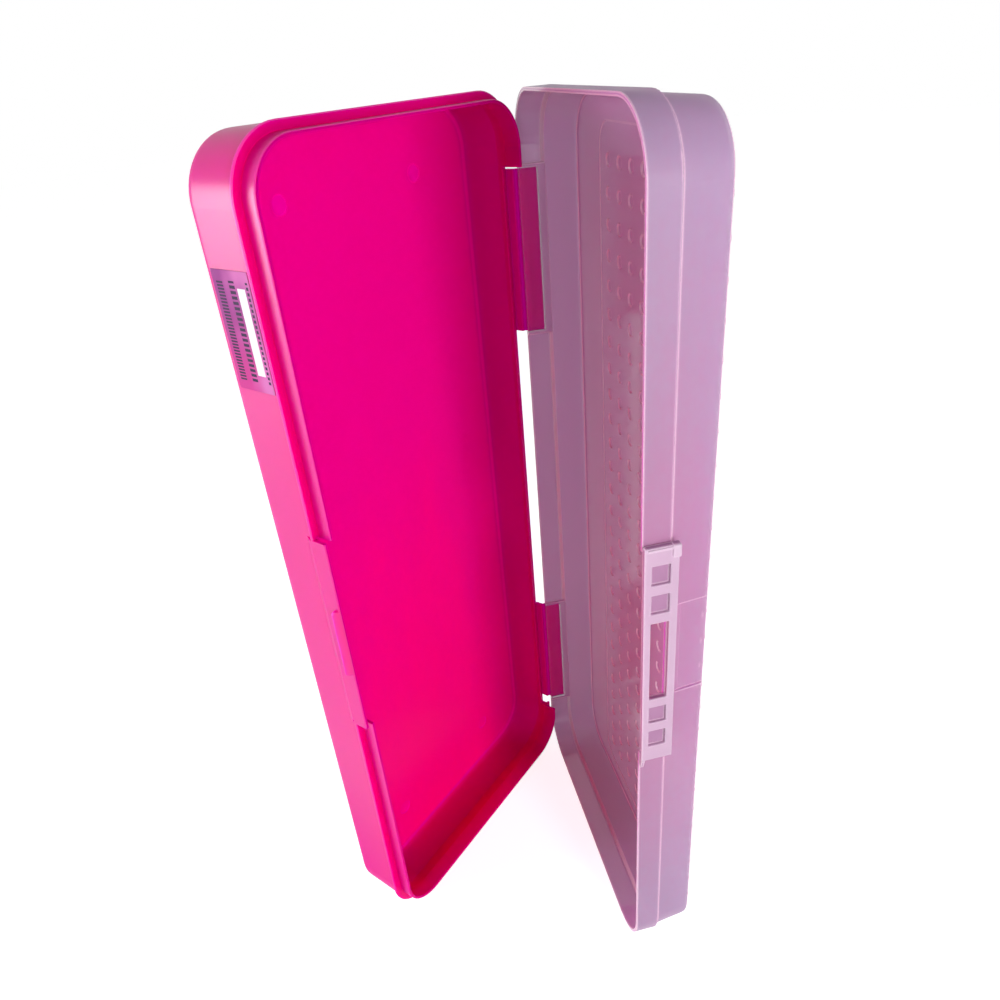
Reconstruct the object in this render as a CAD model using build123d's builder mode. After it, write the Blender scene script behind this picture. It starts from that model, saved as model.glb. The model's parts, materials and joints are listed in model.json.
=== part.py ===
from build123d import *

import os

# Plastic pencil box in two colours, standing on its end with the lid part open. Sizes are in millimetres.
#
# The box is modelled closed: its length runs along Z, its hinge face lies at Y = 0 with the front at minus Y,
# and its depth runs along X, from the floor of the tray through the ledge at X = 0 to the panel of the lid.
# At the end the lid swings open on the hinge, and the whole box moves so that its origin is the middle of its foot.

os.makedirs("parts", exist_ok=True)

# The closed box
length = 335.0
width = 133.5
base_depth = 24.0
lid_depth = 24.9
corner_radius = 20.4
wall = 1.2
rim_gap = 0.3
open_angle = 47.5

# Tray
ledge_thickness = 1.4
ledge_outset = 1.2
floor_inset = 1.7
floor_radius = 4.2
slope_depth = 6.5
ledge_edge = 0.4
ledge_underside_edge = 0.8
tongue_inset = 3.0
tongue_height = 5.5
tongue_edge = 0.35
pin_mark_radius = 3.2
pin_mark_depth = 0.3
pin_mark_from_end = 25.4
pin_mark_from_side = 34.0

# Lid
skirt_height = 9.6
skirt_edge = 0.45
lid_step = 1.0
panel_inset = 2.8
panel_radius = 2.4
dot_pitch = 11.0
dot_radius = 3.4
dot_side = 0.9
dot_height = 0.35
dot_root = 0.5
dimple_radius = 2.7
dimple_side = 0.8
dimple_depth = 0.7
field_start = 30.0
field_margin = 12.0
field_radius = 8.0
field_depth = 0.25
dot_margin_end = 24.0
dot_margin_hinge = 38.3
dot_margin_front = 7.2
thumb_length = 38.0
thumb_depth = 1.0
thumb_start = 12.6
thumb_slope = 2.0

# Hinge flaps, moulded with the tray and folded onto the lid
flap_length = 65.0
flap_from_middle = 106.5
flap_clearance = 0.3
leaf_height = 7.6
hinge_drop = 3.8
notch_below_flap = 5.0
notch_above_flap = 1.0
hinge_outset = 0.35
web_radius = 0.4
web_clearance = 0.05
fold_spread = 0.47

# Latch: a pad and catch on the tray, a clasp with a window on the lid
pad_length = 84.5
pad_root = 4.5
pad_shelf = 3.2
pad_blend = 0.02
pad_dimple_radius = 0.6
pad_dimple_depth = 0.4
pad_dimple_at = 126.5
pad_dimple_below_ledge = 1.6
catch_length = 29.0
catch_reach = 2.0
catch_underside = 3.1
catch_nose = 0.5
catch_end_chamfer = 0.8
clasp_length = 91.0
clasp_gap = 0.4
clasp_plate = 0.8
clasp_bar = 2.0
clasp_rim_bar = 2.4
clasp_window_height = 6.2
clasp_height = 11.4
clasp_window_length = 32.6
inner_rung = 3.9
pocket_length = 7.2
outer_rung = 4.0
clasp_tail = 4.2
clasp_corner = 1.0
clasp_edge = 0.45
clasp_ridge = 0.8
clasp_ridge_rise = 0.5
knob_length = 4.4
knob_width = 2.4
knob_rise = 0.9
knob_overhang = 0.3
knob_edge = 0.6
slot_clearance = 1.1
flex_radius = 0.55
flex_clearance = 0.05
flex_below_edge = 0.2
flex_sink = 0.1

# Label on the front of the tray
label_length = 37.0
label_height = 16.8
label_thickness = 0.15
label_from_end = 37.0
label_below_ledge = 2.8

# Planes: the ledge and the rim carry the plan of the box, the side planes carry its cross sections
ledge = Plane(origin=(0, -width / 2, length / 2), x_dir=(0, 0, 1), z_dir=(1, 0, 0))
rim = ledge.offset(rim_gap)
base_side = Plane(origin=(0, 0, 0), x_dir=(0, -1, 0), z_dir=(0, 0, 1))
lid_side = Plane(origin=(rim_gap, 0, 0), x_dir=(0, -1, 0), z_dir=(0, 0, 1))
middle = length / 2

# Insets of the drafted walls and the axes that the pieces turn on
def tray_inset(depth):
    """Inset of the tray's outer wall at a depth below the ledge."""
    return ledge_outset + (floor_inset - ledge_outset) * depth / base_depth


def body_inset(height):
    """Inset of the lid's outer wall at a height above the rim, past the skirt."""
    rise = (height - skirt_height) / (lid_depth - skirt_height)
    return lid_step + (panel_inset - lid_step) * rise


hinge_height = rim_gap / 2
hinge_axis = Axis((hinge_height, hinge_outset, 0), (0, 0, 1))
flex_height = skirt_height - skirt_edge - flex_below_edge
flex_outset = clasp_gap - flex_sink


# Helpers that draw in the plan and in the cross section
def plan(plane, inset):
    """A face with the rounded plan of the box, inset all round."""
    with BuildSketch(plane) as face:
        RectangleRounded(length - 2 * inset, width - 2 * inset, corner_radius - inset)
    return face.sketch


def slab(plane, inset, height, mode=Mode.ADD):
    """A slab with the plan of the box."""
    extrude(to_extrude=plan(plane, inset), amount=height, mode=mode)


def funnel(plane, inset, height, top_inset, mode=Mode.ADD):
    """A slab whose plan changes evenly from one inset to another."""
    loft(sections=[plan(plane, inset), plan(plane.offset(height), top_inset)], ruled=True, mode=mode)


def bar(side, points, low, high, mode=Mode.ADD):
    """A straight bar along the length. Its points run from the hinge face to the front, and in depth."""
    with BuildSketch(side.offset(low)) as section:
        with BuildLine():
            Polyline(*points, close=True)
        make_face()
    extrude(to_extrude=section.sketch, amount=high - low, mode=mode)


def rod(side, centre, radius, low, high, mode=Mode.ADD):
    """A round bar along the length."""
    with BuildSketch(side.offset(low)) as section:
        with Locations(centre):
            Circle(radius)
    extrude(to_extrude=section.sketch, amount=high - low, mode=mode)


def box_points(front_low, front_high, depth_low, depth_high):
    """The corners of an upright rectangle in a cross section."""
    return [(front_low, depth_low), (front_high, depth_low), (front_high, depth_high), (front_low, depth_high)]


def span(size, centre=middle):
    """The two stations of something that lies evenly about a station."""
    return centre - size / 2, centre + size / 2


flap_centres = {"lower": middle - flap_from_middle, "upper": middle + flap_from_middle}

# Space inside the tray, from the floor up to the mouth
with BuildPart() as tray_space:
    funnel(ledge.offset(wall - base_depth), floor_inset + wall, base_depth - wall - slope_depth,
           tray_inset(slope_depth) + wall)
    fillet(tray_space.edges().group_by(Axis.X)[0], floor_radius - wall)
    funnel(ledge.offset(-slope_depth), tray_inset(slope_depth) + wall, slope_depth - ledge_thickness,
           tongue_inset + wall)
    slab(ledge.offset(-ledge_thickness), tongue_inset + wall, ledge_thickness + tongue_height + wall)

# Ledge that runs round the tray, rounded at its outer edges
with BuildPart() as tray_ledge:
    slab(ledge.offset(-ledge_thickness), 0, ledge_thickness)
    fillet(tray_ledge.edges().group_by(Axis.X)[0], ledge_underside_edge)
    fillet(tray_ledge.edges().group_by(Axis.X)[-1], ledge_edge)

# Tongue that stands inside the lid's skirt
with BuildPart() as tray_tongue:
    slab(ledge.offset(-ledge_thickness), tongue_inset, ledge_thickness + tongue_height)
    fillet(tray_tongue.edges().group_by(Axis.X)[-1], tongue_edge)

with BuildPart() as base_tray:
    funnel(ledge.offset(-base_depth), floor_inset, base_depth - ledge_thickness, tray_inset(ledge_thickness))
    fillet(base_tray.edges().group_by(Axis.X)[0], floor_radius)
    add(tray_ledge.part)
    add(tray_tongue.part)
    add(tray_space.part, mode=Mode.SUBTRACT)
    # Marks of the pins that push the tray out of its mould
    with BuildSketch(ledge.offset(wall - base_depth)) as pin_marks:
        with GridLocations(length - 2 * pin_mark_from_end, width - 2 * pin_mark_from_side, 2, 2):
            Circle(pin_mark_radius)
    extrude(to_extrude=pin_marks.sketch, amount=-pin_mark_depth, mode=Mode.SUBTRACT)
    # Hinge side, cut down between the ends of the ledge
    flaps_low, flaps_high = span(2 * flap_from_middle + flap_length)
    notch = (flaps_low - notch_below_flap, flaps_high + notch_above_flap)
    notch_reach = tongue_inset + 2 * wall
    bar(base_side, box_points(-wall, notch_reach, -hinge_drop, tongue_height + wall), *notch, Mode.SUBTRACT)
    # Lands of the two flaps, which stand on the outside of the wall and end in the web that folds
    land_foot = hinge_drop + 2 * wall
    for centre in flap_centres.values():
        fold = (-hinge_outset, hinge_height)
        land = [
            fold,
            (wall, hinge_height - fold_spread * (hinge_outset + wall)),
            (wall, -hinge_drop),
            (tray_inset(land_foot) + wall / 2, -land_foot),
            (0, -hinge_drop),
            (0, hinge_height - hinge_outset - 2 * web_radius),
            (-hinge_outset, hinge_height - web_radius),
        ]
        bar(base_side, land, *span(flap_length, centre))
        rod(base_side, fold, web_radius, *span(flap_length, centre))
    # Latch pad: the front wall rises straight past the ledge, in line with its edge
    pad = span(pad_length)
    pad_cut = width - tongue_inset - 2 * wall
    bar(base_side, box_points(pad_cut, width + wall, -ledge_thickness - ledge_underside_edge,
                              tongue_height + wall), *pad, Mode.SUBTRACT)
    shelf_inset = tray_inset(pad_root) + wall
    pad_points = [
        (width - shelf_inset - wall / 4, -pad_root),
        (width - shelf_inset + wall - pad_blend, -pad_root),
        (width, -ledge_thickness),
        (width, tongue_height - tongue_edge),
        (width - tongue_edge, tongue_height),
        (width - wall, tongue_height),
        (width - wall, -ledge_thickness),
        (width - shelf_inset - wall / 4, -pad_shelf),
    ]
    bar(base_side, pad_points, *pad)
    # Catch: a ramp that faces the lid, over the step that holds the clasp
    catch_points = [
        (width - wall / 2, catch_underside),
        (width + catch_reach, catch_underside),
        (width + catch_reach, catch_underside + catch_nose),
        (width - tongue_edge / 2, tongue_height - tongue_edge / 2),
        (width - wall / 2, tongue_height - tongue_edge),
    ]
    bar(base_side, catch_points, *span(catch_length))
    chamfer(base_tray.edges().filter_by(Axis.X).group_by(Axis.Y)[0], catch_end_chamfer)
    # Small dimple near the lower end of the pad
    with BuildSketch(Plane(origin=(-pad_dimple_below_ledge, -width, pad_dimple_at), z_dir=(0, 1, 0))) as dimple:
        Circle(pad_dimple_radius)
    extrude(to_extrude=dimple.sketch, amount=pad_dimple_depth, mode=Mode.SUBTRACT)

# Space inside the lid, with the same wall behind the step over its skirt
with BuildPart() as lid_space:
    slab(rim.offset(-wall), wall, wall + skirt_height)
    funnel(rim.offset(skirt_height), wall, wall, lid_step + wall)
    funnel(rim.offset(skirt_height + wall), lid_step + wall, lid_depth - skirt_height - 2 * wall,
           body_inset(lid_depth - wall) + wall)
    fillet(lid_space.edges().group_by(Axis.X)[-1], panel_radius - wall)

with BuildPart() as lid_skirt:
    slab(rim, 0, skirt_height)
    fillet(lid_skirt.edges().group_by(Axis.X)[-1], skirt_edge)

with BuildPart() as lid_shell:
    funnel(rim.offset(skirt_height - wall), lid_step, lid_depth - skirt_height + wall, panel_inset)
    fillet(lid_shell.edges().group_by(Axis.X)[-1], panel_radius)
    add(lid_skirt.part)
    add(lid_space.part, mode=Mode.SUBTRACT)
    # Thumb recess in the front wall: the wall steps inwards and keeps its thickness
    recess = [
        (width - body_inset(thumb_start), thumb_start),
        (width - body_inset(thumb_start + thumb_slope) - thumb_depth, thumb_start + thumb_slope),
        (width - body_inset(lid_depth) - thumb_depth, lid_depth),
    ]
    backing = [(front - wall, height) for front, height in recess]
    panel_bend = lid_depth - panel_radius
    bar(lid_side, [
        backing[0],
        backing[1],
        (backing[2][0], lid_depth - wall / 2),
        (width - body_inset(panel_bend) - wall / 2, panel_bend),
        (width - body_inset(thumb_start) - wall / 2, thumb_start),
    ], *span(thumb_length + 2 * wall))
    bar(lid_side, [
        recess[0],
        recess[1],
        (recess[2][0], lid_depth + wall),
        (width + wall, lid_depth + wall),
        (width + wall, thumb_start),
    ], *span(thumb_length), Mode.SUBTRACT)
    # Recesses that the flaps' leaves lie in, with the wall stepped inwards behind them
    for centre in flap_centres.values():
        bar(lid_side, box_points(wall / 2, 2 * wall, 0, skirt_height + wall),
            *span(flap_length + 2 * (flap_clearance + wall), centre))
        bar(lid_side, box_points(-wall, wall, -wall, leaf_height + flap_clearance),
            *span(flap_length + 2 * flap_clearance, centre), Mode.SUBTRACT)
    # Slot in the front of the skirt for the latch pad, and the rib that the clasp flexes on
    slot_top = flex_height - flex_radius
    bar(lid_side, box_points(width - 2 * wall, width + wall, -wall, slot_top),
        *span(pad_length + 2 * slot_clearance), Mode.SUBTRACT)
    rod(lid_side, (width + flex_outset, flex_height), flex_radius, *span(clasp_length - 2 * wall))
    # Shallow field on the inside of the panel, behind the dots
    with BuildSketch(rim.offset(lid_depth - wall)) as dot_field:
        with Locations((0, (field_start - field_margin) / 2)):
            RectangleRounded(length - 2 * field_margin, width - field_start - field_margin, field_radius)
    extrude(to_extrude=dot_field.sketch, amount=field_depth, mode=Mode.SUBTRACT)
    # Pattern of raised dots on the panel, each with a dimple on the inside
    dot_rows = int((length - 2 * dot_margin_end) / dot_pitch) + 1
    dot_columns = int((width - dot_margin_hinge - dot_margin_front) / dot_pitch) + 1
    dot_centre = dot_margin_hinge + dot_pitch * (dot_columns - 1) / 2 - width / 2
    with Locations(rim.offset(lid_depth - dot_root)):
        with Locations((0, dot_centre)):
            with GridLocations(dot_pitch, dot_pitch, dot_rows, dot_columns):
                Cone(dot_radius, dot_radius - dot_side, dot_root + dot_height,
                     align=(Align.CENTER, Align.CENTER, Align.MIN))
    with Locations(rim.offset(lid_depth - wall)):
        with Locations((0, dot_centre)):
            with GridLocations(dot_pitch, dot_pitch, dot_rows, dot_columns):
                Cone(dimple_radius + dimple_side, dimple_radius - dimple_side, 2 * dimple_depth, mode=Mode.SUBTRACT)

# Leaves of the two flaps, which lie in the lid's recesses and turn about the webs
leaves = {}
for name, centre in flap_centres.items():
    with BuildPart() as leaf:
        fold = (-hinge_outset, -hinge_height)
        bar(lid_side, [
            fold,
            (wall, fold_spread * (hinge_outset + wall) - hinge_height),
            (wall, leaf_height),
            (0, leaf_height),
            (0, hinge_outset + 2 * web_radius - hinge_height),
            (-hinge_outset, web_radius + hinge_height),
        ], *span(flap_length, centre))
        rod(lid_side, fold, web_radius + web_clearance, *span(flap_length + wall, centre), Mode.SUBTRACT)
    leaves[name] = leaf

# Clasp: a ladder of rungs on a thin plate, with a window that takes the catch
with BuildPart() as latch_clasp:
    inner_face = width + clasp_gap
    outer_face = inner_face + clasp_bar
    window_top = clasp_rim_bar + clasp_window_height
    clasp_low, clasp_high = span(clasp_length)
    bar(lid_side, box_points(inner_face, inner_face + clasp_plate, 0, clasp_height), clasp_low, clasp_high)
    bar(lid_side, box_points(inner_face, outer_face, 0, clasp_rim_bar), clasp_low, clasp_high)
    bar(lid_side, box_points(inner_face, outer_face, window_top, clasp_height), clasp_low, clasp_high)
    inner_end = clasp_window_length / 2 + inner_rung
    outer_start = inner_end + pocket_length
    outer_end = outer_start + outer_rung
    end_start = outer_end + pocket_length
    for start, end in ((clasp_window_length / 2, inner_end), (outer_start, outer_end),
                       (end_start, clasp_length / 2)):
        for low, high in ((middle + start, middle + end), (middle - end, middle - start)):
            bar(lid_side, box_points(inner_face, outer_face, 0, clasp_height), low, high)
    bar(lid_side, box_points(width, outer_face + wall, clasp_rim_bar, window_top),
        *span(clasp_window_length), Mode.SUBTRACT)
    fillet(latch_clasp.edges().filter_by(Axis.Y).group_by(Axis.Z)[-1], clasp_corner)
    fillet(latch_clasp.faces().sort_by(Axis.Y)[0].edges(), clasp_edge)
    # Ridge over the upper end, and a knob at its corner
    bar(lid_side, box_points(inner_face, outer_face + clasp_ridge_rise, clasp_corner, clasp_height - knob_width / 2),
        clasp_high - clasp_ridge - clasp_edge, clasp_high - clasp_edge)
    with BuildPart(mode=Mode.PRIVATE) as knob:
        bar(lid_side, box_points(inner_face, outer_face + knob_rise, clasp_height - knob_width,
                                 clasp_height + knob_overhang), clasp_high - knob_length, clasp_high + knob_overhang)
        fillet(knob.edges(), knob_edge)
    add(knob.part)
    # Pointed tail of the rim bar, past the clasp's lower end
    with BuildSketch(rim) as tail:
        with BuildLine():
            Polyline((clasp_low - middle, inner_face - width / 2),
                     (clasp_low - middle, outer_face - width / 2),
                     (clasp_low - middle - clasp_tail, inner_face + clasp_plate - width / 2),
                     (clasp_low - middle - clasp_tail, inner_face - width / 2), close=True)
        make_face()
    extrude(to_extrude=tail.sketch, amount=clasp_rim_bar / 2)
    rod(lid_side, (width + flex_outset, flex_height), flex_radius + flex_clearance,
        *span(clasp_length - wall), Mode.SUBTRACT)

# Printed label on the front wall of the tray
with BuildPart() as label:
    label_low = length - label_from_end - label_length
    label_foot = label_below_ledge + label_height
    foot_face = width - tray_inset(label_foot)
    top_face = width - tray_inset(label_below_ledge)
    bar(base_side, [
        (foot_face, -label_foot),
        (foot_face + label_thickness, -label_foot),
        (top_face + label_thickness, -label_below_ledge),
        (top_face, -label_below_ledge),
    ], label_low, label_low + label_length)

# The lid's pieces swing open, then the box moves so that its origin is the middle of its foot
hinge_leaf_upper = leaves["upper"]
hinge_leaf_lower = leaves["lower"]
lid_pieces = [lid_shell, latch_clasp, hinge_leaf_upper, hinge_leaf_lower]
for piece in lid_pieces:
    piece.part = piece.part.rotate(hinge_axis, open_angle)
pieces = [base_tray, label] + lid_pieces
corners = [piece.part.bounding_box() for piece in pieces]
foot = Vector(
    (min(box.min.X for box in corners) + max(box.max.X for box in corners)) / 2,
    (min(box.min.Y for box in corners) + max(box.max.Y for box in corners)) / 2,
    min(box.min.Z for box in corners),
)
for piece in pieces:
    piece.part = piece.part.moved(Location(-foot))

# Places that the record states: the shift of the closed box's frame, and the two axes at their lower ends
hinge_point = hinge_axis.position
flex_closed = Vector(rim_gap + flex_height, -width - flex_outset, 0)
flex_point = hinge_point + (flex_closed - hinge_point).rotate(Axis.Z, open_angle)
print("origin of the closed box's frame", tuple(-foot))
print("hinge axis", tuple(hinge_point - foot))
print("clasp's flex axis", tuple(flex_point - foot))

base_tray.part.label = "base_tray"
export_step(base_tray.part, "parts/base_tray.step")
label.part.label = "label"
export_step(label.part, "parts/label.step")
lid_shell.part.label = "lid_shell"
export_step(lid_shell.part, "parts/lid_shell.step")
latch_clasp.part.label = "latch_clasp"
export_step(latch_clasp.part, "parts/latch_clasp.step")
hinge_leaf_upper.part.label = "hinge_leaf_upper"
export_step(hinge_leaf_upper.part, "parts/hinge_leaf_upper.step")
hinge_leaf_lower.part.label = "hinge_leaf_lower"
export_step(hinge_leaf_lower.part, "parts/hinge_leaf_lower.step")
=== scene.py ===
"""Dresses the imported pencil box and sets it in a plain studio.

Lengths are in metres, or in mm where a name says so.
"""

import json
import logging
import math
from dataclasses import dataclass, field, replace
from enum import Enum
from typing import Any, Self

import bpy
from mathutils import Matrix, Vector

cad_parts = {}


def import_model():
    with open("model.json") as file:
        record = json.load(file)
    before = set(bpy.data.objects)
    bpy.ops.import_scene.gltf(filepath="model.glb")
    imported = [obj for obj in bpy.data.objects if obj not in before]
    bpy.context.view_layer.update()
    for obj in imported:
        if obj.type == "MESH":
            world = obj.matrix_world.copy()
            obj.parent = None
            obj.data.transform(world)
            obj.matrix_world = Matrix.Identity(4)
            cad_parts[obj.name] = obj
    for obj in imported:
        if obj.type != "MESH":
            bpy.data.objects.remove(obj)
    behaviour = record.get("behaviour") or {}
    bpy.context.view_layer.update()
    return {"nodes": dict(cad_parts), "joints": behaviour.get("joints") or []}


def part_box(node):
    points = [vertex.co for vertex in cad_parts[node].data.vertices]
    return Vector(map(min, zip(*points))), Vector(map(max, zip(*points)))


LOG = logging.getLogger("pencil_box")
MM = 0.001
UP = Vector((0, 0, 1))

Socket = bpy.types.NodeSocket
Colour = tuple[float, float, float, float]
Range = tuple[float, float]
WHITE: Colour = (1.0, 1.0, 1.0, 1.0)

# A change of range eases in and out. Its two pairs of sockets are set together.
EASED = {"interpolation_type": "SMOOTHSTEP"}
SOURCE = ("From Min", "From Max")
TARGET = ("To Min", "To Max")
FALLING: Range = (1.0, 0.0)

# A mix node has a pair of sockets and a result for each type of value
SHARE = 0
NUMBERS = (2, 3)
COLOURS = (6, 7)
MIXED_NUMBER = 0
MIXED_COLOUR = 2


def linear(hex_colour: str) -> Colour:
    """Turns an sRGB colour into the linear values that a shader takes.

    Args:
        hex_colour: six hex digits, with or without a leading #.

    Returns:
        Red, green, blue and an alpha of 1.
    """
    digits = hex_colour.lstrip("#")
    values = [int(digits[start:start + 2], 16) / 255 for start in (0, 2, 4)]
    # The sRGB curve: a straight line near black, then a power
    red, green, blue = (value / 12.92 if value <= 0.04045 else ((value + 0.055) / 1.055) ** 2.4
                        for value in values)
    return red, green, blue, 1.0


@dataclass
class NodeSheet:
    """A node tree with a short way to add a node to it."""

    tree: bpy.types.NodeTree

    def add(self, kind: str, settings: dict[str, Any] | None = None,
            inputs: dict[str | int | tuple, Any] | None = None) -> bpy.types.Node:
        """Adds a node.

        Args:
            kind: the node's type in Blender.
            settings: properties of the node itself.
            inputs: by socket name or number, a value to set or a socket to link from. A tuple of
                sockets takes as many values.

        Returns:
            The new node.
        """
        node = self.tree.nodes.new(kind)
        for name, value in (settings or {}).items():
            setattr(node, name, value)
        for name, value in (inputs or {}).items():
            pairs = zip(name, value) if isinstance(name, tuple) else ((name, value),)
            for socket, given in pairs:
                if isinstance(given, bpy.types.NodeSocket):
                    self.tree.links.new(given, node.inputs[socket])
                else:
                    node.inputs[socket].default_value = given
        return node

    def joined(self, operation: str, numbers: list[Socket]) -> Socket:
        """Takes several numbers into one, two by two.

        Args:
            operation: what is done with the result so far and the next number.
            numbers: the numbers, at least one.

        Returns:
            The last result.
        """
        result = numbers[0]
        for number in numbers[1:]:
            result = self.add("ShaderNodeMath", {"operation": operation}, {0: result, 1: number}).outputs[0]
        return result


def new_material(name: str) -> tuple[bpy.types.Material, NodeSheet]:
    """Makes an empty material with nodes.

    Args:
        name: the material's name.

    Returns:
        The material and its sheet of nodes.
    """
    material = bpy.data.materials.new(name)
    material.use_nodes = True
    material.node_tree.nodes.clear()
    return material, NodeSheet(material.node_tree)


def millimetres(sheet: NodeSheet, origin: Vector | None = None) -> Socket:
    """Adds the place of a point in mm, tied to the piece.

    Args:
        sheet: the nodes to add to.
        origin: where to measure from, in metres, or None for the frame's own origin.

    Returns:
        The place.
    """
    place = sheet.add("ShaderNodeTexCoord").outputs["Object"]
    if origin is not None:
        place = sheet.add("ShaderNodeVectorMath", {"operation": "SUBTRACT"}, {0: place, 1: origin}).outputs[0]
    scaled = sheet.add("ShaderNodeVectorMath", {"operation": "SCALE"}, {0: place, "Scale": 1 / MM})
    return scaled.outputs["Vector"]


def stretched_noise(sheet: NodeSheet, place: Socket, grain_mm: tuple[float, float, float],
                    detail: float = 2.0) -> Socket:
    """Adds a noise whose grain has a real size along each axis.

    Args:
        sheet: the nodes to add to.
        place: the place in mm.
        grain_mm: the grain's size along X, Y and Z.
        detail: how many finer layers it has.

    Returns:
        The noise, from 0 to 1.
    """
    scaled = sheet.add("ShaderNodeVectorMath", {"operation": "DIVIDE"}, {0: place, 1: grain_mm})
    noise = sheet.add("ShaderNodeTexNoise", None,
                      {"Vector": scaled.outputs["Vector"], "Scale": 1.0, "Detail": detail})
    return noise.outputs["Fac"]


@dataclass(frozen=True)
class Patch:
    """A block of space, by its span along three ways at right angles, in metres."""

    spans: tuple[tuple[Vector, float, float], ...]

    @classmethod
    def behind(cls, node: bpy.types.Object, facing: Vector, wall_mm: float) -> Self:
        """Measures the block that a node takes up, with the wall that it is pressed to.

        Args:
            node: the node.
            facing: a level way along the wall, square to its length.
            wall_mm: how far the block reaches through the wall.

        Returns:
            The block.
        """
        spans = []
        for way, more in ((facing, 0.0), (UP.cross(facing), wall_mm * MM), (UP, 0.0)):
            places = [vertex.co.dot(way) for vertex in node.data.vertices]
            spans.append((way, min(places) - more, max(places) + more))
        return cls(tuple(spans))

    def mask(self, sheet: NodeSheet, soft_mm: float) -> Socket:
        """Adds a mask of the block.

        Args:
            sheet: the nodes to add to.
            soft_mm: how far the mask fades beyond the block.

        Returns:
            The mask, from 1 in the block to 0 away from it.
        """
        place = sheet.add("ShaderNodeTexCoord").outputs["Object"]
        beyond = []
        for way, low, high in self.spans:
            along = sheet.add("ShaderNodeVectorMath", {"operation": "DOT_PRODUCT"}, {0: place, 1: way})
            off = sheet.add("ShaderNodeMath", {"operation": "SUBTRACT"},
                            {0: along.outputs["Value"], 1: (low + high) / 2})
            size = sheet.add("ShaderNodeMath", {"operation": "ABSOLUTE"}, {0: off.outputs[0]})
            over = sheet.add("ShaderNodeMath", {"operation": "SUBTRACT"},
                             {0: size.outputs[0], 1: (high - low) / 2})
            beyond.append(over.outputs[0])
        near = sheet.add("ShaderNodeMapRange", EASED, {
            "Value": sheet.joined("MAXIMUM", beyond), SOURCE: (0.0, soft_mm * MM), TARGET: FALLING})
        return near.outputs["Result"]


class Stock(Enum):
    """The plastics that the box is moulded from, as their materials are named."""

    HOT_PINK = "hot_pink"
    CLEAR = "clear"
    CLEAR_THICK = "clear_thick"


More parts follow.
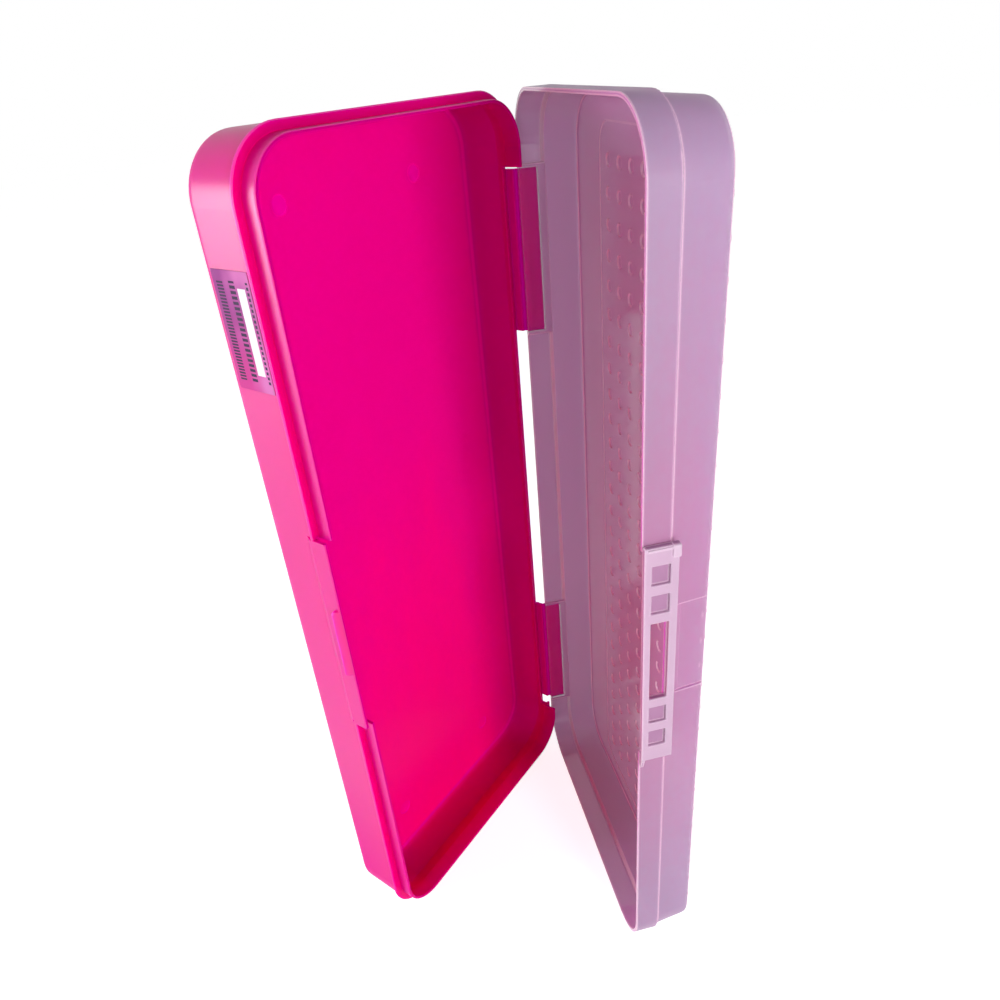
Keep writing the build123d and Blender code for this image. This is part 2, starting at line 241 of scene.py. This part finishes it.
@dataclass(frozen=True)
class FrostedPolypropylene:
    """Moulded polypropylene, from a mould that is polished in the hollow and finely spark-eroded outside.

    It looks satin outside and smoother inside. Light comes through its thin walls. Its edges, its slopes and
    whatever stands proud get a painted glow colour, a painted highlight. Places and ways are in the frame's
    own axes.
    """

    stock: Stock
    # A point in the middle of the hollow, the way that the piece's floor faces, and the point that the colour
    # drifts away from
    middle: Vector
    facing: Vector
    tone_centre: Vector
    # Each side's colour near that point and far from it. On the lid, the colours near it are a painted
    # reflection of the pink tray
    inside: tuple[str, str]
    outside: tuple[str, str]
    # A painted glow colour on edges, slopes and proud bars, a painted highlight where light would gather
    painted_glow_colour: str
    inner_roughness: float
    outer_roughness: float
    subsurface: float
    subsurface_tint: tuple[float, float, float]
    subsurface_mm: float
    shine_tint: str
    specular: float
    coat_roughness: float
    coat_ior: float
    ior: float = 1.49
    inner_coat: float = 0.0
    outer_coat: float = 0.0
    # How much the haze in the plastic hides of what is behind it
    inner_alpha: float = 1.0
    outer_alpha: float = 1.0
    edge_alpha: float = 1.0
    pressed_alpha: float = 1.0
    # Where another piece is pressed to the wall, and shows through it
    pressed: tuple[Patch, ...] = ()
    pressed_soft_mm: float = 0.4
    # An edge shows where the rounded surface leans away from the real one, by the cosine of the angle
    edge_mm: float = 1.0
    edge_samples: int = 6
    edge_cosine: Range = (0.9, 0.998)
    # The sides of the dimples slope between walls and floor, by the cosine of their angle to the floor
    slope_from_wall: Range = (0.5, 0.7)
    slope_to_floor: Range = (0.8, 0.95)
    # A wall is an outer one by how far ahead of the middle its plane lies, and a back by the cosine of the
    # angle between its outward way and the opposite of the floor's
    wall_reach_mm: Range = (5.0, 20.0)
    back_cosine: Range = (0.4, 0.8)
    # How far the clasp's bars stand proud of its middle, and the share of painted highlight that they get,
    # which leaves the recesses between them in painted shade
    proud_mm: Range | None = None
    painted_bar_share: float = 0.8
    # The mould's grain is about 0.05 mm, drawn ten times coarser so that it shows
    grain_mm: float = 0.5
    grain_depth_mm: float = 0.012
    grain_strength: float = 0.6
    # The colour drifts over most of the piece, with flow marks drawn out along it and a fine mottle
    drift_mm: tuple[float, float, float] = (80.0, 80.0, 190.0)
    drift_range: Range = (0.4, 1.3)
    flow_mm: tuple[float, float, float] = (26.0, 26.0, 90.0)
    flow_share: float = 0.5
    mottle_mm: tuple[float, float, float] = (2.2, 2.2, 4.0)
    mottle_detail: float = 3.0
    mottle_share: float = 0.12
    # Hands dull the plastic in soft patches, and the foot is rubbed where the box is set down
    wear: float = 0.03
    worn_range: Range = (0.4, 0.7)
    rubbed_mm: Range = (10.0, 110.0)
    rubbed_gloss: Range = (0.15, 1.0)

    def make(self) -> bpy.types.Material:
        """Builds the material.

        Returns:
            The material, named for the plastic.
        """
        material, sheet = new_material(f"frosted_polypropylene_{self.stock.value}")
        place = millimetres(sheet)
        painted_glow = self.painted_glow_mask(sheet)
        outside = self.outer_side(sheet)
        surface = sheet.add("ShaderNodeBsdfPrincipled", None, {
            "Base Color": self.tone(sheet, place, painted_glow, outside),
            "Roughness": self.roughness(sheet, place, outside),
            "Normal": self.grain(sheet, place),
            "IOR": self.ior,
            "Specular Tint": linear(self.shine_tint),
            "Coat Weight": self.polish(sheet, place, outside),
            "Coat Roughness": self.coat_roughness,
            "Coat IOR": self.coat_ior,
            "Alpha": self.haze(sheet, painted_glow, outside),
            "Specular IOR Level": self.specular,
            "Subsurface Weight": self.subsurface,
            "Subsurface Radius": self.subsurface_tint,
            "Subsurface Scale": self.subsurface_mm * MM})
        sheet.add("ShaderNodeOutputMaterial", None, {"Surface": surface.outputs[0]})
        return material

    def painted_glow_mask(self, sheet: NodeSheet) -> Socket:
        """Adds a mask of the painted glow: edges, slopes and, on the clasp, the proud bars over painted-shade
        recesses.

        Args:
            sheet: the nodes to add to.

        Returns:
            The mask, from 0 on a flat wall to 1 where the painted glow is strongest.
        """
        masks = [self.edges(sheet), self.slopes(sheet)]
        if self.proud_mm:
            place = sheet.add("ShaderNodeTexCoord").outputs["Object"]
            across = UP.cross(self.facing)
            depth = sheet.add("ShaderNodeVectorMath", {"operation": "DOT_PRODUCT"}, {0: place, 1: across})
            low, high = (self.tone_centre.dot(across) + proud * MM for proud in self.proud_mm)
            # The proud bars get a painted highlight, and the recesses between them stay in painted shade
            bars = sheet.add("ShaderNodeMapRange", EASED, {
                "Value": depth.outputs["Value"], SOURCE: (low, high), TARGET: (0.0, self.painted_bar_share)})
            masks.append(bars.outputs["Result"])
        return sheet.joined("MAXIMUM", masks)

    def edges(self, sheet: NodeSheet) -> Socket:
        """Adds a mask of the piece's edges.

        Args:
            sheet: the nodes to add to.

        Returns:
            The mask, from 0 on a flat face to 1 on an edge.
        """
        rounded = sheet.add("ShaderNodeBevel", {"samples": self.edge_samples}, {"Radius": self.edge_mm * MM})
        real = sheet.add("ShaderNodeNewGeometry")
        agreement = sheet.add("ShaderNodeVectorMath", {"operation": "DOT_PRODUCT"},
                              {0: rounded.outputs["Normal"], 1: real.outputs["Normal"]})
        mask = sheet.add("ShaderNodeMapRange", EASED, {
            "Value": agreement.outputs["Value"], SOURCE: self.edge_cosine, TARGET: FALLING})
        return mask.outputs["Result"]

    def slopes(self, sheet: NodeSheet) -> Socket:
        """Adds a mask of what slopes about halfway between floor and walls, such as the sides of the dimples.

        Args:
            sheet: the nodes to add to.

        Returns:
            The mask, from 0 on floor and walls to 1 on the slopes.
        """
        place = sheet.add("ShaderNodeTexCoord")
        turn = sheet.add("ShaderNodeVectorMath", {"operation": "DOT_PRODUCT"},
                         {0: place.outputs["Normal"], 1: self.facing})
        size = sheet.add("ShaderNodeMath", {"operation": "ABSOLUTE"}, {0: turn.outputs["Value"]}).outputs[0]
        off_wall = sheet.add("ShaderNodeMapRange", EASED, {"Value": size, SOURCE: self.slope_from_wall})
        off_floor = sheet.add("ShaderNodeMapRange", EASED, {
            "Value": size, SOURCE: self.slope_to_floor, TARGET: FALLING})
        return sheet.joined("MULTIPLY", [off_wall.outputs["Result"], off_floor.outputs["Result"]])

    def outer_side(self, sheet: NodeSheet) -> Socket:
        """Adds a mask of the outer side of the piece.

        Args:
            sheet: the nodes to add to.

        Returns:
            The mask, from 0 in the hollow to 1 outside.
        """
        place = sheet.add("ShaderNodeTexCoord")
        normal = place.outputs["Normal"]
        away = sheet.add("ShaderNodeVectorMath", {"operation": "SUBTRACT"},
                         {0: place.outputs["Object"], 1: self.middle}).outputs["Vector"]
        forward = sheet.add("ShaderNodeVectorMath", {"operation": "PROJECT"}, {0: away, 1: self.facing})
        sideways = sheet.add("ShaderNodeVectorMath", {"operation": "SUBTRACT"},
                             {0: away, 1: forward.outputs["Vector"]})
        reach = sheet.add("ShaderNodeVectorMath", {"operation": "DOT_PRODUCT"},
                          {0: normal, 1: sideways.outputs["Vector"]})
        walls = sheet.add("ShaderNodeMapRange", EASED, {
            "Value": reach.outputs["Value"], SOURCE: [reach_mm * MM for reach_mm in self.wall_reach_mm]})
        turn = sheet.add("ShaderNodeVectorMath", {"operation": "DOT_PRODUCT"}, {0: normal, 1: -self.facing})
        backs = sheet.add("ShaderNodeMapRange", EASED, {
            "Value": turn.outputs["Value"], SOURCE: self.back_cosine})
        return sheet.joined("MAXIMUM", [walls.outputs["Result"], backs.outputs["Result"]])

    def haze(self, sheet: NodeSheet, painted_glow: Socket, outside: Socket) -> float | Socket:
        """Adds how much the haze hides: most in the edges, least where another piece is pressed to the wall.

        Args:
            sheet: the nodes to add to.
            painted_glow: the mask of the painted glow on edges, slopes and proud bars.
            outside: the mask of the outer side.

        Returns:
            The alpha, a plain number where it is the same all over.
        """
        if self.inner_alpha == self.outer_alpha == self.edge_alpha:
            return self.edge_alpha
        face = sheet.add("ShaderNodeMapRange", EASED, {
            "Value": outside, TARGET: (self.inner_alpha, self.outer_alpha)})
        body = sheet.add("ShaderNodeMix", {"data_type": "FLOAT"}, {
            SHARE: painted_glow, NUMBERS: (face.outputs["Result"], self.edge_alpha)}).outputs[MIXED_NUMBER]
        for patch in self.pressed:
            body = sheet.add("ShaderNodeMix", {"data_type": "FLOAT"}, {
                SHARE: patch.mask(sheet, self.pressed_soft_mm),
                NUMBERS: (body, self.pressed_alpha)}).outputs[MIXED_NUMBER]
        return body

    def tone(self, sheet: NodeSheet, place: Socket, painted_glow: Socket, outside: Socket) -> Socket:
        """Adds the colour: a slow drift away from a centre point, a faint mottle and a painted glow on edges,
        slopes and proud bars.

        Args:
            sheet: the nodes to add to.
            place: the place in mm.
            painted_glow: the mask of the painted glow on edges, slopes and proud bars.
            outside: the mask of the outer side.

        Returns:
            The colour.
        """
        from_tone_centre = sheet.add("ShaderNodeVectorMath", {"operation": "SUBTRACT"},
                              {0: place, 1: self.tone_centre / MM})
        drift = sheet.add("ShaderNodeVectorMath", {"operation": "DIVIDE"},
                          {0: from_tone_centre.outputs["Vector"], 1: self.drift_mm})
        distance = sheet.add("ShaderNodeVectorMath", {"operation": "LENGTH"}, {0: drift.outputs["Vector"]})
        flow = stretched_noise(sheet, place, self.flow_mm)
        mottle = stretched_noise(sheet, place, self.mottle_mm, self.mottle_detail)
        waves = sheet.add("ShaderNodeMath", {"operation": "MULTIPLY_ADD"},
                          {0: flow, 1: self.flow_share, 2: distance.outputs["Value"]})
        clouds = sheet.add("ShaderNodeMath", {"operation": "MULTIPLY_ADD"},
                           {0: mottle, 1: self.mottle_share, 2: waves.outputs[0]})
        drifted = sheet.add("ShaderNodeMapRange", EASED, {
            "Value": clouds.outputs[0], SOURCE: self.drift_range})
        sides = [sheet.add("ShaderNodeMix", {"data_type": "RGBA"}, {
            SHARE: drifted.outputs["Result"], COLOURS: (linear(near), linear(far))}).outputs[MIXED_COLOUR]
            for near, far in (self.inside, self.outside)]
        body = sheet.add("ShaderNodeMix", {"data_type": "RGBA"}, {SHARE: outside, COLOURS: sides})
        # Painted glow: edges, slopes and proud bars are painted in the glow colour
        with_painted_glow = sheet.add("ShaderNodeMix", {"data_type": "RGBA"}, {
            SHARE: painted_glow, COLOURS: (body.outputs[MIXED_COLOUR], linear(self.painted_glow_colour))})
        return with_painted_glow.outputs[MIXED_COLOUR]

    def roughness(self, sheet: NodeSheet, place: Socket, outside: Socket) -> Socket:
        """Adds the roughness: smooth inside, satin outside, a little duller in soft patches.

        Args:
            sheet: the nodes to add to.
            place: the place in mm.
            outside: the mask of the outer side.

        Returns:
            The roughness.
        """
        base = sheet.add("ShaderNodeMapRange", EASED, {
            "Value": outside, TARGET: (self.inner_roughness, self.outer_roughness)})
        worn = sheet.add("ShaderNodeMapRange", EASED, {
            "Value": stretched_noise(sheet, place, self.flow_mm), SOURCE: self.worn_range,
            TARGET: (0.0, self.wear)})
        return sheet.joined("ADD", [base.outputs["Result"], worn.outputs["Result"]])

    def polish(self, sheet: NodeSheet, place: Socket, outside: Socket) -> float | Socket:
        """Adds the weight of the glossy coat, which is less near the rubbed foot.

        Args:
            sheet: the nodes to add to.
            place: the place in mm.
            outside: the mask of the outer side.

        Returns:
            The weight, a plain 0 where neither side has the coat.
        """
        if self.inner_coat == self.outer_coat == 0.0:
            return 0.0
        gloss = sheet.add("ShaderNodeMapRange", EASED, {
            "Value": outside, TARGET: (self.inner_coat, self.outer_coat)})
        height = sheet.add("ShaderNodeSeparateXYZ", None, {0: place})
        kept = sheet.add("ShaderNodeMapRange", EASED, {
            "Value": height.outputs["Z"], SOURCE: self.rubbed_mm, TARGET: self.rubbed_gloss})
        return sheet.joined("MULTIPLY", [gloss.outputs["Result"], kept.outputs["Result"]])

    def grain(self, sheet: NodeSheet, place: Socket) -> Socket:
        """Adds the fine bump that the mould leaves.

        Args:
            sheet: the nodes to add to.
            place: the place in mm.

        Returns:
            The bumped normal.
        """
        bump = sheet.add("ShaderNodeBump", None, {
            "Height": stretched_noise(sheet, place, (self.grain_mm,) * 3),
            "Distance": self.grain_depth_mm * MM, "Strength": self.grain_strength})
        return bump.outputs["Normal"]


@dataclass(frozen=True)
class TickRow:
    """A row of ruler ticks, in mm: its two sides across the label, and the distance from tick to tick."""

    start: float
    end: float
    pitch: float


@dataclass(frozen=True)
class PrintedFilm:
    """Printed polyester film under a satin varnish: a violet ground, a white panel and plain ruler ticks.

    The varnish gives it a low even sheen, and a painted sheen makes it paler to one side and where the film
    waves. Its ink is crisp, which sets it off from the soft plastic round it. Places on it are in mm from its
    low corner, across it or up it.
    """

    low: Vector
    magenta: str = "#C42A88"
    violet: str = "#8E2A80"
    # A painted sheen colour, laid over the ground to one side and where the film waves
    painted_sheen_colour: str = "#D070B4"
    panel: str = "#ECE4EC"
    ink: str = "#2C0A3C"
    panel_across: Range = (10.7, 14.3)
    panel_up: Range = (5.5, 32.0)
    # Ticks at each mm, and two rows at each sixteenth of an inch
    tick_rows: tuple[TickRow, ...] = (
        TickRow(1.4, 4.4, 1.0), TickRow(7.2, 9.8, 1.5875), TickRow(15.0, 16.0, 1.5875))
    ticks_up: Range = (3.0, 34.0)
    tick_share: float = 0.6
    # The ground turns from magenta at the foot to violet, and a painted sheen pales it across the film and on
    # its waves
    magenta_up: Range = (0.0, 30.0)
    painted_sheen_per_mm: float = 0.03
    painted_sheen_range: Range = (0.6, 1.2)
    # The film waves a little on the wall, over about a centimetre, which varies its roughness and its painted
    # sheen
    wave_mm: tuple[float, float, float] = (9.0, 9.0, 14.0)
    wave_detail: float = 1.0
    wave_range: Range = (0.3, 0.7)
    sheen: Range = (0.35, 0.5)
    ior: float = 1.57
    specular: float = 0.1

    def make(self) -> bpy.types.Material:
        """Builds the material.

        Returns:
            The material, named for the film.
        """
        material, sheet = new_material("printed_polyester_film")
        place = millimetres(sheet, self.low)
        wave = stretched_noise(sheet, place, self.wave_mm, self.wave_detail)
        roughness = sheet.add("ShaderNodeMapRange", EASED, {
            "Value": wave, SOURCE: self.wave_range, TARGET: self.sheen})
        surface = sheet.add("ShaderNodeBsdfPrincipled", None, {
            "Base Color": self.printing(sheet, place, wave), "Roughness": roughness.outputs["Result"],
            "IOR": self.ior, "Specular IOR Level": self.specular})
        sheet.add("ShaderNodeOutputMaterial", None, {"Surface": surface.outputs[0]})
        return material

    def printing(self, sheet: NodeSheet, place: Socket, wave: Socket) -> Socket:
        """Adds the print: the ground with its painted sheen, then the panel, then the ticks.

        Args:
            sheet: the nodes to add to.
            place: the place on the film in mm.
            wave: the noise of the film's waves.

        Returns:
            The colour.
        """
        parts = sheet.add("ShaderNodeSeparateXYZ", None, {0: place})
        across, up = parts.outputs["X"], parts.outputs["Z"]
        height = sheet.add("ShaderNodeMapRange", EASED, {"Value": up, SOURCE: self.magenta_up})
        ground = sheet.add("ShaderNodeMix", {"data_type": "RGBA"}, {
            SHARE: height.outputs["Result"], COLOURS: (linear(self.magenta), linear(self.violet))})
        # Painted sheen: paler to one side and where the film waves
        drift = sheet.add("ShaderNodeMath", {"operation": "MULTIPLY_ADD"},
                          {0: across, 1: self.painted_sheen_per_mm, 2: wave})
        painted_sheen_share = sheet.add("ShaderNodeMapRange", EASED, {
            "Value": drift.outputs[0], SOURCE: self.painted_sheen_range})
        panel = sheet.joined("MULTIPLY", [
            *self.within(sheet, across, self.panel_across), *self.within(sheet, up, self.panel_up)])
        layers = [(painted_sheen_share.outputs["Result"], self.painted_sheen_colour), (panel, self.panel)]
        for row in self.tick_rows:
            step = sheet.add("ShaderNodeMath", {"operation": "MODULO"}, {0: up, 1: row.pitch}).outputs[0]
            ticks = sheet.joined("MULTIPLY", [
                *self.within(sheet, across, (row.start, row.end)), *self.within(sheet, up, self.ticks_up),
                *self.within(sheet, step, (0.0, row.pitch * self.tick_share))])
            layers.append((ticks, self.ink))
        colour = ground.outputs[MIXED_COLOUR]
        for share, layer in layers:
            colour = sheet.add("ShaderNodeMix", {"data_type": "RGBA"}, {
                SHARE: share, COLOURS: (colour, linear(layer))}).outputs[MIXED_COLOUR]
        return colour

    def within(self, sheet: NodeSheet, value: Socket, limits: Range) -> tuple[Socket, Socket]:
        """Adds two tests of a value, whose product is 1 between the limits and 0 elsewhere.

        Args:
            sheet: the nodes to add to.
            value: the value to test.
            limits: the lower and the upper limit.

        Returns:
            1 above the lower limit, and 1 below the upper.
        """
        above, below = (sheet.add("ShaderNodeMath", {"operation": operation}, {0: value, 1: limit})
                        for operation, limit in zip(("GREATER_THAN", "LESS_THAN"), limits))
        return above.outputs[0], below.outputs[0]


def dress(node: bpy.types.Object, material: bpy.types.Material) -> str:
    """Gives a node of the frame one material.

    Args:
        node: the node.
        material: its material.

    Returns:
        What was done, for the log.
    """
    node.data.materials.clear()
    node.data.materials.append(material)
    return f"{node.name} in {material.name}"


def box_middle(name: str) -> Vector:
    """Gives the middle of a node's box."""
    low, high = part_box(name)
    return (low + high) / 2


@dataclass
class Tray:
    """The pink half, with the lands of its hinge flaps, its latch pad and its label."""

    nodes: dict[str, bpy.types.Object]
    facing: Vector = field(default_factory=lambda: Vector((1, 0, 0)))
    # The colour drifts from this far below the middle, where the pink is brightest, to a darker magenta
    tone_centre_drop: float = 0.12

    def build(self) -> list[str]:
        """Dresses the tray, the leaves of its flaps and the label.

        Returns:
            A line for the log on each piece.
        """
        pink = self.pink().make()
        moulded = ("base_tray", "hinge_leaf_upper", "hinge_leaf_lower")
        film = PrintedFilm(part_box("label")[0]).make()
        return [dress(self.nodes[name], pink) for name in moulded] + [dress(self.nodes["label"], film)]

    def pink(self) -> FrostedPolypropylene:
        """Gives the pink plastic. Its own colour glows through it, and its outer walls have a soft gloss.

        Returns:
            The finish.
        """
        middle = box_middle("base_tray")
        return FrostedPolypropylene(
            stock=Stock.HOT_PINK, middle=middle, facing=self.facing, tone_centre=middle - self.tone_centre_drop * UP,
            # The glow colour is a painted glow, a deeper magenta, on the edges and slopes
            inside=("#FF0068", "#DC0078"), outside=("#EC0078", "#E40086"), painted_glow_colour="#F20086",
            inner_roughness=0.3, outer_roughness=0.36,
            subsurface=1.0, subsurface_tint=(1.0, 0.1, 1.0), subsurface_mm=6.0,
            shine_tint="#FF2898", specular=0.03, outer_coat=0.34, coat_roughness=0.3, coat_ior=2.2)


@dataclass
class Lid:
    """The clear half and its clasp, at the angle that the lid is open at rest."""

    nodes: dict[str, bpy.types.Object]
    opened: float = math.radians(47.5)
    # The leaves show through this much of the wall
    wall_mm: float = 2.5

    def build(self) -> list[str]:
        """Dresses the lid and the clasp.

        Returns:
            A line for the log on each piece.
        """
        clear = self.clear()
        return [dress(self.nodes["lid_shell"], clear.make()),
                dress(self.nodes["latch_clasp"], self.thick(clear).make())]

    def clear(self) -> FrostedPolypropylene:
        """Gives the clear plastic of the lid. It is milky, and the pink leaves show through its hinge wall.
        Near the clasp it is painted pink to magenta, most of all inside, as a painted reflection of the pink
        tray.

        Returns:
            The finish.
        """
        facing = -Vector((math.cos(self.opened), math.sin(self.opened), 0))
        leaves = (self.nodes[name] for name in ("hinge_leaf_upper", "hinge_leaf_lower"))
        return FrostedPolypropylene(
            # The colour drifts from the clasp's middle: the near colours, magenta inside and pinker outside,
            # are a painted reflection of the pink tray, and the far ones are the plastic's own lilac
            stock=Stock.CLEAR, middle=box_middle("lid_shell"), facing=facing, tone_centre=box_middle("latch_clasp"),
            inside=("#EC48EC", "#D29CD0"), outside=("#CC94BC", "#BCA8CA"), painted_glow_colour="#F0C4E0",
            inner_roughness=0.18, outer_roughness=0.5,
            subsurface=0.4, subsurface_tint=(1.0, 0.9, 1.0), subsurface_mm=4.0,
            shine_tint="#FFFFFF", specular=0.5, inner_coat=0.6, coat_roughness=0.12, coat_ior=1.5,
            inner_alpha=0.78, outer_alpha=0.62, edge_alpha=0.95, pressed_alpha=0.12,
            pressed=tuple(Patch.behind(leaf, facing, self.wall_mm) for leaf in leaves),
            edge_mm=1.2, drift_mm=(56.0, 56.0, 260.0), mottle_share=0.4)

    def thick(self, clear: FrostedPolypropylene) -> FrostedPolypropylene:
        """Gives the plastic of the clasp: the lid's own, hazier because its bars are thick, with a painted
        highlight on its proud bars and painted shade in the recesses between them.

        Args:
            clear: the lid's plastic.

        Returns:
            The finish.
        """
        # The mauve, darker than the lid, is the clasp's colour and the painted shade of the recesses between
        # its bars; the pale glow colour is a painted highlight on the bars
        mauve = ("#BC8CB4", "#B080A8")
        return replace(
            clear, stock=Stock.CLEAR_THICK, inside=mauve, outside=mauve, painted_glow_colour="#ECD0E6",
            inner_alpha=0.86, outer_alpha=0.8, inner_coat=0.0, pressed=(), proud_mm=(0.0, 1.2))


def seen_directly(sheet: NodeSheet) -> Socket:
    """Adds a test of what a ray is for.

    Args:
        sheet: the nodes to add to.

    Returns:
        1 for rays from the camera, off gloss or through clear plastic, and 0 for the rest.
    """
    path = sheet.add("ShaderNodeLightPath")
    return sheet.joined("MAXIMUM", [
        path.outputs[name] for name in ("Is Camera Ray", "Is Glossy Ray", "Is Transmission Ray")])


@dataclass(frozen=True)
class StudioPaper:
    """Matt white paper, pressed from fine fibre. It shows white where it is lit, and keeps the shadow."""

    colour: str = "#F2F2F2"
    fibre_colour: str = "#D8D8D8"
    # The fibres cloud the paper over a few mm
    fibre_mm: float = 3.0
    fibre_range: Range = (0.3, 0.7)
    fibre_share: float = 0.03
    lift: float = 0.8

    def make(self) -> bpy.types.Material:
        """Builds the material.

        Returns:
            The material, named for the paper.
        """
        material, sheet = new_material("studio_paper")
        fibre = sheet.add("ShaderNodeMapRange", EASED, {
            "Value": stretched_noise(sheet, millimetres(sheet), (self.fibre_mm,) * 3),
            SOURCE: self.fibre_range, TARGET: (0.0, self.fibre_share)})
        tone = sheet.add("ShaderNodeMix", {"data_type": "RGBA"}, {
            SHARE: fibre.outputs["Result"], COLOURS: (linear(self.colour), linear(self.fibre_colour))})
        paper = sheet.add("ShaderNodeBsdfDiffuse", None, {"Color": tone.outputs[MIXED_COLOUR]})
        glow = sheet.add("ShaderNodeEmission", None, {"Color": WHITE, "Strength": self.lift})
        lifted = sheet.add("ShaderNodeAddShader", None, {0: paper.outputs[0], 1: glow.outputs[0]})
        seen = sheet.add("ShaderNodeMixShader", None, {
            0: seen_directly(sheet), 1: paper.outputs[0], 2: lifted.outputs[0]})
        sheet.add("ShaderNodeOutputMaterial", None, {"Surface": seen.outputs[0]})
        return material


@dataclass(frozen=True)
class Softbox:
    """A square soft light: its place, the length of its side and its power in watts."""

    name: str
    place: tuple[float, float, float]
    side: float
    power: float

    def build(self, target: Vector) -> None:
        """Hangs the light and aims it.

        Args:
            target: the point that it is aimed at.
        """
        data = bpy.data.lights.new(self.name, "AREA")
        data.shape = "SQUARE"
        data.size = self.side
        data.energy = self.power
        lamp = bpy.data.objects.new(self.name, data)
        lamp.location = self.place
        lamp.rotation_euler = (target - Vector(self.place)).to_track_quat("-Z", "Y").to_euler()
        bpy.context.scene.collection.objects.link(lamp)


@dataclass
class Studio:
    """The floor, the lights, the white surround and the camera at the photograph's place."""

    hinge: Vector
    # How strong the surround's light is, and the share of the way up where it is least
    horizon: float = 0.62
    zenith: float = 0.1
    zenith_height: float = 0.9
    floor_side: float = 8.0
    aim_height: float = 0.17
    # The camera's place from the hinge's foot, its turn about Z, its tilt, its roll and its focal length
    camera_from_hinge: tuple[float, float, float] = (0.18415, -0.26985, 0.3444)
    yaw: float = math.radians(-37.493)
    pitch: float = math.radians(-29.676)
    roll: float = math.radians(-5.265)
    focal_pixels: float = 772.853
    image_pixels: float = 1000.0
    sensor_mm: float = 36.0
    lights: tuple[Softbox, ...] = (
        Softbox("key_light", (1.22, -0.68, 0.30), 0.3, 12.0),
        Softbox("fill_light", (-0.9, -0.9, 0.35), 0.6, 11.0))

    def build(self) -> list[str]:
        """Sets up everything that isn't part of the box.

        Returns:
            A line for the log on each thing.
        """
        self.lay_floor()
        self.fill_world()
        for light in self.lights:
            light.build(self.aim_height * UP)
        self.place_camera()
        bpy.context.scene.view_settings.view_transform = "Standard"
        return ["floor", "surround", *(light.name for light in self.lights), "camera"]

    def lay_floor(self) -> None:
        """Lays the paper floor under the box."""
        half = self.floor_side / 2
        corners = [(-half, -half, 0), (half, -half, 0), (half, half, 0), (-half, half, 0)]
        mesh = bpy.data.meshes.new("floor")
        mesh.from_pydata(corners, [], [(0, 1, 2, 3)])
        floor = bpy.data.objects.new("floor", mesh)
        bpy.context.scene.collection.objects.link(floor)
        mesh.materials.append(StudioPaper().make())

    def fill_world(self) -> None:
        """Surrounds the box with white, dimmer as a light than as it is seen."""
        world = bpy.data.worlds.new("studio")
        world.use_nodes = True
        world.node_tree.nodes.clear()
        sheet = NodeSheet(world.node_tree)
        way = sheet.add("ShaderNodeTexCoord")
        height = sheet.add("ShaderNodeSeparateXYZ", None, {0: way.outputs["Generated"]})
        strength = sheet.add("ShaderNodeMapRange", EASED, {
            "Value": height.outputs["Z"], SOURCE: (0.0, self.zenith_height),
            TARGET: (self.horizon, self.zenith)})
        light = sheet.add("ShaderNodeBackground", None, {
            "Color": WHITE, "Strength": strength.outputs["Result"]})
        white = sheet.add("ShaderNodeBackground", None, {"Color": WHITE, "Strength": 1.0})
        mixed = sheet.add("ShaderNodeMixShader", None, {
            0: seen_directly(sheet), 1: light.outputs[0], 2: white.outputs[0]})
        sheet.add("ShaderNodeOutputWorld", None, {"Surface": mixed.outputs[0]})
        bpy.context.scene.world = world

    def place_camera(self) -> None:
        """Puts the camera where the photograph was taken from."""
        level = math.cos(self.pitch)
        ahead = Vector((math.sin(self.yaw) * level, math.cos(self.yaw) * level, math.sin(self.pitch)))
        right = Vector((math.cos(self.yaw), -math.sin(self.yaw), 0))
        above = right.cross(ahead)
        x_axis = math.cos(self.roll) * right + math.sin(self.roll) * above
        y_axis = math.cos(self.roll) * above - math.sin(self.roll) * right
        turn = Matrix((x_axis, y_axis, -ahead)).transposed()
        place = Vector((self.hinge.x, self.hinge.y, 0)) + Vector(self.camera_from_hinge)
        data = bpy.data.cameras.new("camera")
        data.sensor_width = self.sensor_mm
        data.lens = self.focal_pixels / self.image_pixels * self.sensor_mm
        camera = bpy.data.objects.new("camera", data)
        camera.matrix_world = Matrix.Translation(place) @ turn.to_4x4()
        bpy.context.scene.collection.objects.link(camera)
        bpy.context.scene.camera = camera


def main() -> None:
    """Builds each sub-assembly in turn and reports its pieces."""
    logging.basicConfig(level=logging.INFO, format="%(message)s")
    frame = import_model()
    nodes = frame["nodes"]
    hinge = next(joint for joint in frame["joints"] if joint["name"] == "lid_hinge")
    for assembly in (Tray(nodes), Lid(nodes), Studio(Vector(hinge["pos_m"]))):
        for line in assembly.build():
            LOG.info("%s: %s", type(assembly).__name__, line)


if __name__ == "__main__":
    main()
